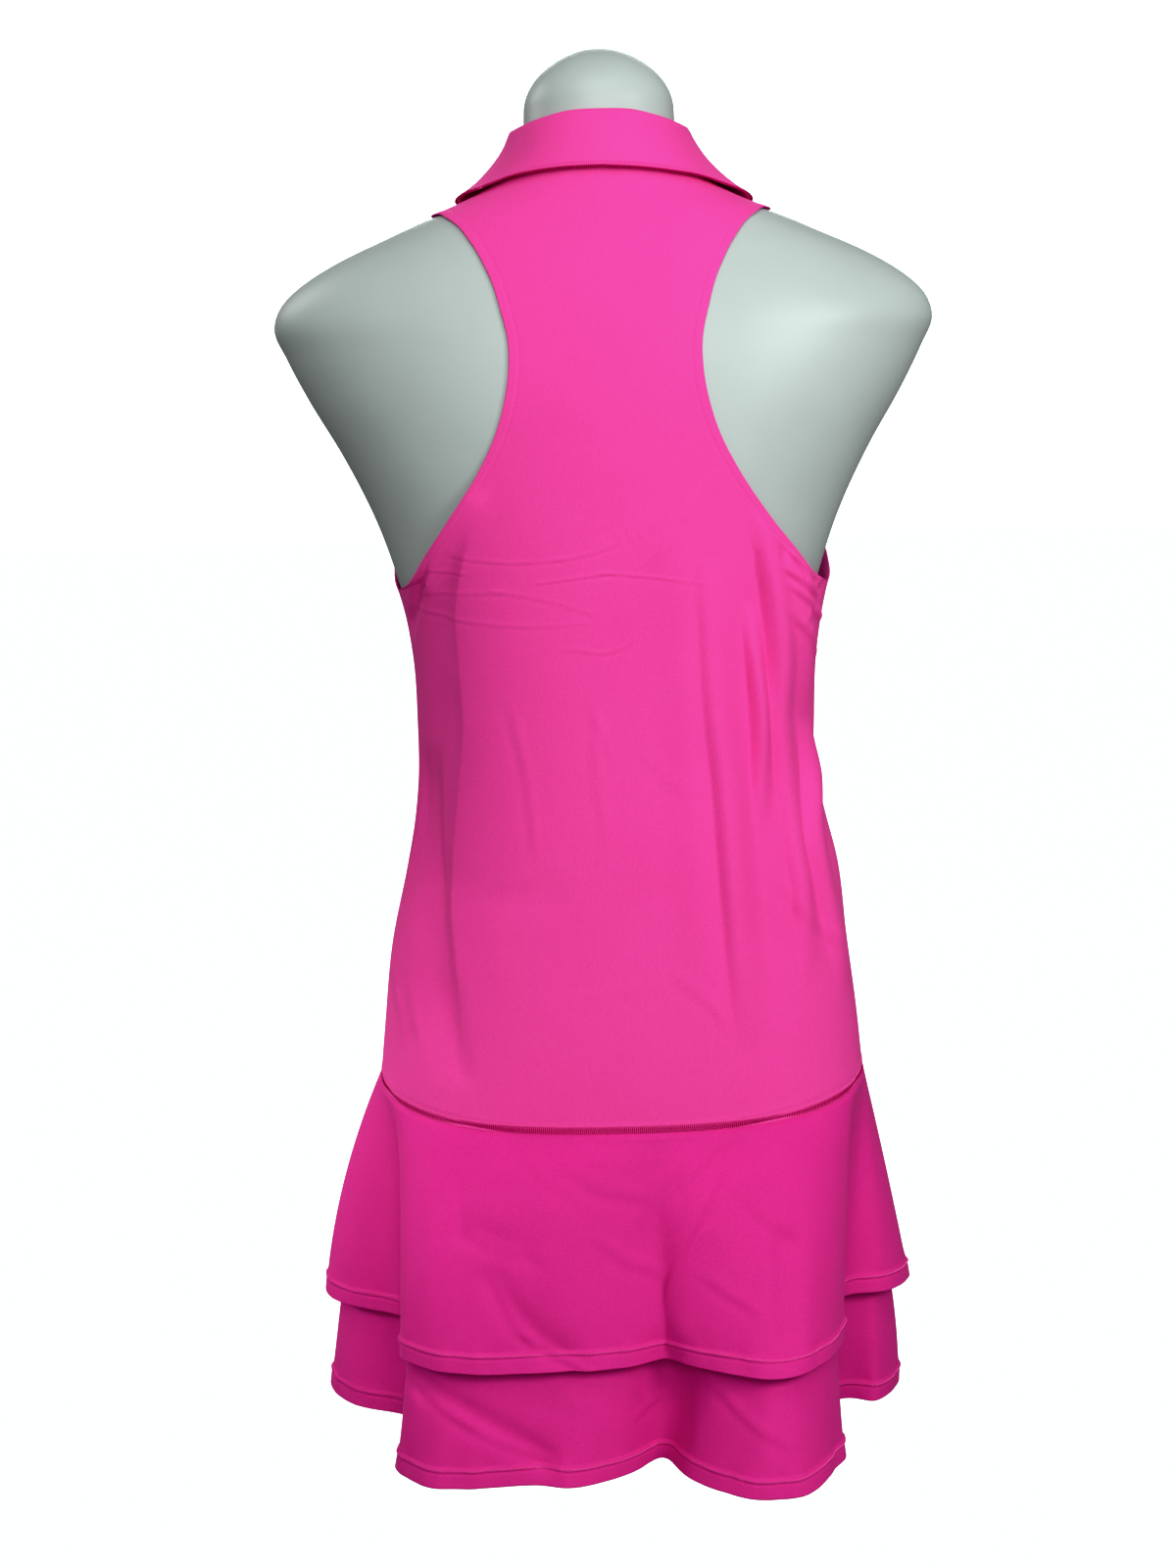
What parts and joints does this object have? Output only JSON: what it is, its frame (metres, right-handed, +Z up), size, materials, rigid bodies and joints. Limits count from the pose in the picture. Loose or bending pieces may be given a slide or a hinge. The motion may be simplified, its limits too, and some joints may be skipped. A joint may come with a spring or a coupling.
{
  "type": "tiered athletic dress on limbless dress form",
  "caption": "Sleeveless racerback athletic dress with a turned-down collar and a flared tiered skirt, worn by a smooth armless, headless dress form.",
  "frame": {"origin": "middle of the dress form's flat base", "axes": "+Z up; the back of the dress faces -Y and its front +Y; +X is the right-hand side seen from behind"},
  "size_m": [0.4268, 0.3582, 0.897],
  "materials": {
    "jersey": "matte stretch jersey",
    "form": "satin, smooth"
  },
  "bodies": {
    "root": {"bodice_back": "jersey", "bodice_front": "jersey", "collar": "jersey", "upper_tier_back": "jersey", "upper_tier_front": "jersey", "lower_tier_back": "jersey", "lower_tier_front": "jersey", "form": "form"}
  },
  "joints": []
}
